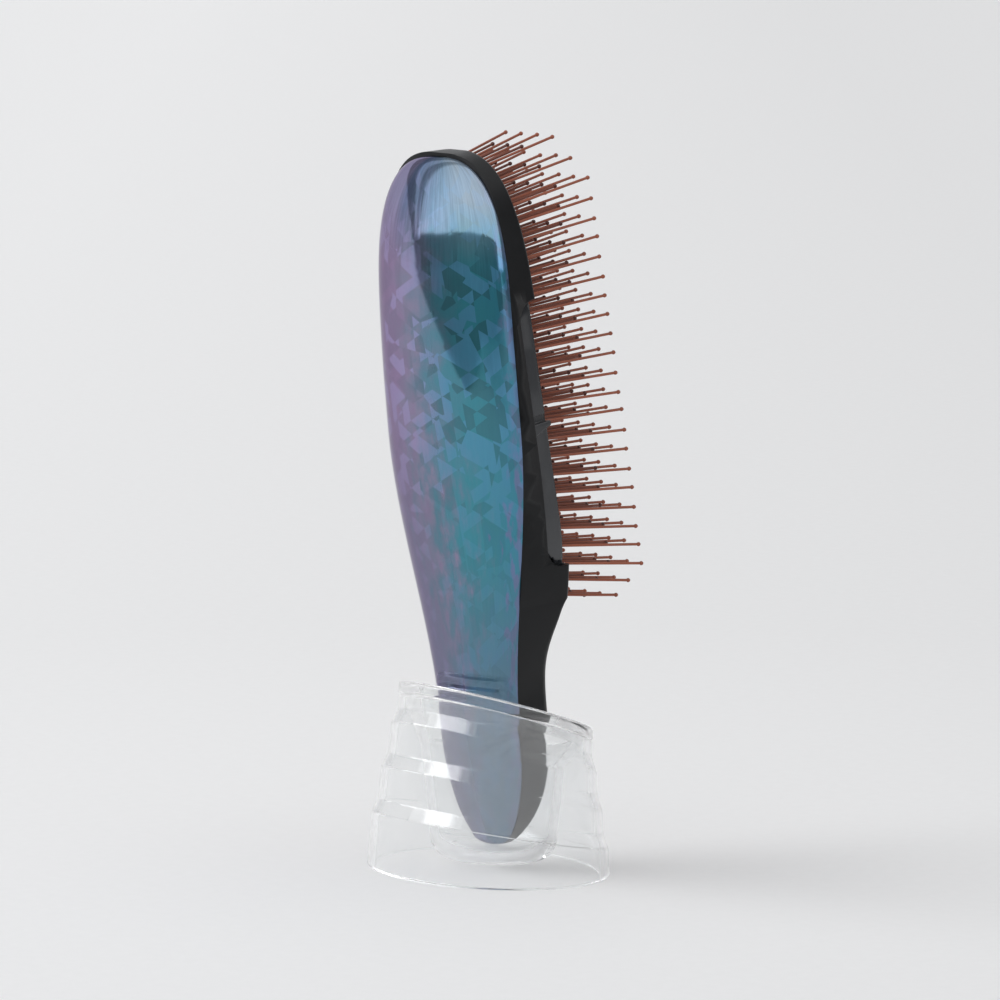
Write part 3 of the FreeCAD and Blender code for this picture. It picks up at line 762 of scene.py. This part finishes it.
def paperMaterial(right, front):
    material, tree, shader = newMaterial("paperFloor")
    coords = addNode(tree, "ShaderNodeTexCoord").outputs["Object"]
    fibre = noise(tree, coords, *paper["fibreGrain"])
    plain = addRamp(tree, fibre, ((0.3, paper["fibreColour"]), (0.7, paper["colour"])))
    ahead = dot(tree, coords, front - right * paper["edgeSlant"])
    toRight = dot(tree, coords, right)
    # Painted pool of light: the paper is painted lighter around the stand
    away = addNode(tree, "ShaderNodeVectorMath", {0: coords}, operation="LENGTH").outputs["Value"]
    # Painted light falloff: the paper is painted darker from left to right
    shade = ramped(tree, toRight, *paper["paintedFalloffRun"])
    paintedLightPaper = scaled(tree, plain, calc(tree, "MULTIPLY", shade, ramped(tree, away, *paper["paintedPoolRun"])))
    fade = ramped(tree, toRight, *paper["fadeRun"])
    edge = ramped(tree, toRight, *paper["edgeRun"])
    over = ramped(tree, calc(tree, "DIVIDE", calc(tree, "SUBTRACT", ahead, edge), fade), 0.0, 1.0)
    aside = calc(tree, "MULTIPLY_ADD", ahead, paper["asideSlant"], toRight)
    over = calc(tree, "MULTIPLY", over, ramped(tree, aside, *paper["asideRun"]))
    beside = ramped(tree, toRight, *paper["besideRun"])
    beside = calc(tree, "MULTIPLY", beside, ramped(tree, aside, *paper["besideAside"]))
    mirror = mirrorRay(tree, addNode(tree, "ShaderNodeLightPath").outputs)
    seen = calc(tree, "MULTIPLY", calc(tree, "MAXIMUM", over, beside), mirror)
    feed(tree, shader.inputs["Base Color"], mixColour(tree, seen, paintedLightPaper, paper["dark"]))
    setShader(shader, **paper["shine"])
    return material


def makeFloor(right, front):
    bm = bmesh.new()
    bmesh.ops.create_grid(bm, x_segments=2, y_segments=2, size=paper["size"] / 2.0)
    floor = addMesh("floor", bm, paperMaterial(right, front))


# Air: pale all round. Reflections see a bright ceiling, a pale backdrop and the dark room between
air = {
    "colour": (0.98, 0.985, 1.0, 1.0), "light": 0.70,
    "roomLight": 0.10, "ceilingLight": 2.0, "backdropLight": 0.82,
    "ceilingSlant": 0.1, "ceilingFoot": 0.085, "ceilingFade": (-0.005, 0.005), "ceilingSide": (0.85, 0.70),
    "screenSides": ((0.46, 0.52), (0.82, 0.76)),
    "backdropSlant": 1.35, "backdropFoot": 0.16, "backdropFade": (0.006, -0.006),
    "barFoot": 0.02, "barRange": (0.0, 3.0),
    "bars": (                       # place in the fan, share of the light
        (0.0, 0.06), (0.205, 0.10), (0.225, 0.42), (0.285, 0.44), (0.305, 0.14),
        (0.360, 0.18), (0.400, 0.66), (0.55, 0.84), (0.78, 1.0),
    ),
    # a soft light up in front, to the left, seen in the clear plastic
    "panelWay": (-106.0, 38.0), "panelHalf": (0.48, 0.20), "panelLight": 4.5,
    "panelFade": 0.03, "panelSide": (0.0, -0.01),
}


def roomLight(tree, toRight, toFront, height):
    ceilingEdge = calc(tree, "MULTIPLY_ADD", toFront, air["ceilingSlant"], air["ceilingFoot"])
    over = ramped(tree, calc(tree, "SUBTRACT", height, ceilingEdge), *air["ceilingFade"])
    ceiling = calc(tree, "MULTIPLY", over, ramped(tree, toRight, *air["ceilingSide"]))
    screen = calc(tree, "MULTIPLY", *(ramped(tree, toRight, *side) for side in air["screenSides"]))
    bright = calc(tree, "MAXIMUM", ceiling, screen)
    # Two darker bars fan out between the backdrop and the ceiling light
    turnBack = calc(tree, "ADD", toFront, air["backdropFoot"])
    turnBack = calc(tree, "MULTIPLY_ADD", height, air["backdropSlant"], turnBack)
    fan = calc(tree, "DIVIDE", turnBack, calc(tree, "ADD", height, air["barFoot"]))
    stops = [(place, (grey, grey, grey)) for place, grey in air["bars"]]
    bars = addRamp(tree, ramped(tree, fan, *air["barRange"]), stops)
    lit = calc(tree, "MULTIPLY", bright, bars)
    room = ramped(tree, lit, 0.0, 1.0, air["roomLight"], air["ceilingLight"])
    backdrop = ramped(tree, turnBack, *air["backdropFade"])
    return calc(tree, "MULTIPLY_ADD", backdrop, calc(tree, "SUBTRACT", air["backdropLight"], room), room)


def panelShare(tree, way, toRight, right, front):
    turn, rise = (math.radians(part) for part in air["panelWay"])
    level = right * math.cos(turn) - front * math.sin(turn)
    across = right * math.sin(turn) + front * math.cos(turn)
    upright = Vector((0.0, 0.0, math.cos(rise))) - across * math.sin(rise)
    panel = ramped(tree, toRight, *air["panelSide"])
    for axis, half in zip((level, upright), air["panelHalf"]):
        apart = calc(tree, "ABSOLUTE", dot(tree, way, axis))
        panel = calc(tree, "MULTIPLY", panel, ramped(tree, apart, half, half - air["panelFade"]))
    return panel


def makeWorld(right, front):
    world = bpy.data.worlds.new("studioAir")
    bpy.context.scene.world = world
    world.use_nodes = True
    tree = world.node_tree
    background = next(node for node in tree.nodes if node.type == "BACKGROUND")
    way = addNode(tree, "ShaderNodeTexCoord").outputs["Generated"]
    toRight = dot(tree, way, right)
    lit = roomLight(tree, toRight, dot(tree, way, front), dot(tree, way, (0.0, 0.0, 1.0)))
    rays = addNode(tree, "ShaderNodeLightPath").outputs
    more = calc(tree, "SUBTRACT", lit, air["light"])
    strength = calc(tree, "MULTIPLY_ADD", mirrorRay(tree, rays), more, air["light"])
    panel = calc(tree, "MULTIPLY", panelShare(tree, way, toRight, right, front), clearRay(tree, rays))
    strength = calc(tree, "MULTIPLY_ADD", panel, air["panelLight"], strength)
    feed(tree, background.inputs["Color"], air["colour"])
    feed(tree, background.inputs["Strength"], strength)


# Key light: a wide soft light from above and the left
keyLight = {"energy": 1.05, "spread": 50.0, "up": 1.0, "left": 1.1, "behind": 0.1}


def addKeyLight(right, front):
    light = bpy.data.lights.new("keyLight", "SUN")
    light.energy = keyLight["energy"]
    light.angle = math.radians(keyLight["spread"])
    key = addObject("keyLight", light)
    key.location = Vector((0.0, 0.0, keyLight["up"])) - right * keyLight["left"] - front * keyLight["behind"]
    key.rotation_euler = (-key.location).to_track_quat("-Z", "Y").to_euler()
    key.visible_glossy = False


right, front = makeCamera()
makeFloor(right, front)
makeWorld(right, front)
addKeyLight(right, front)
bpy.context.scene.view_settings.view_transform = "Standard"
print("studio made")
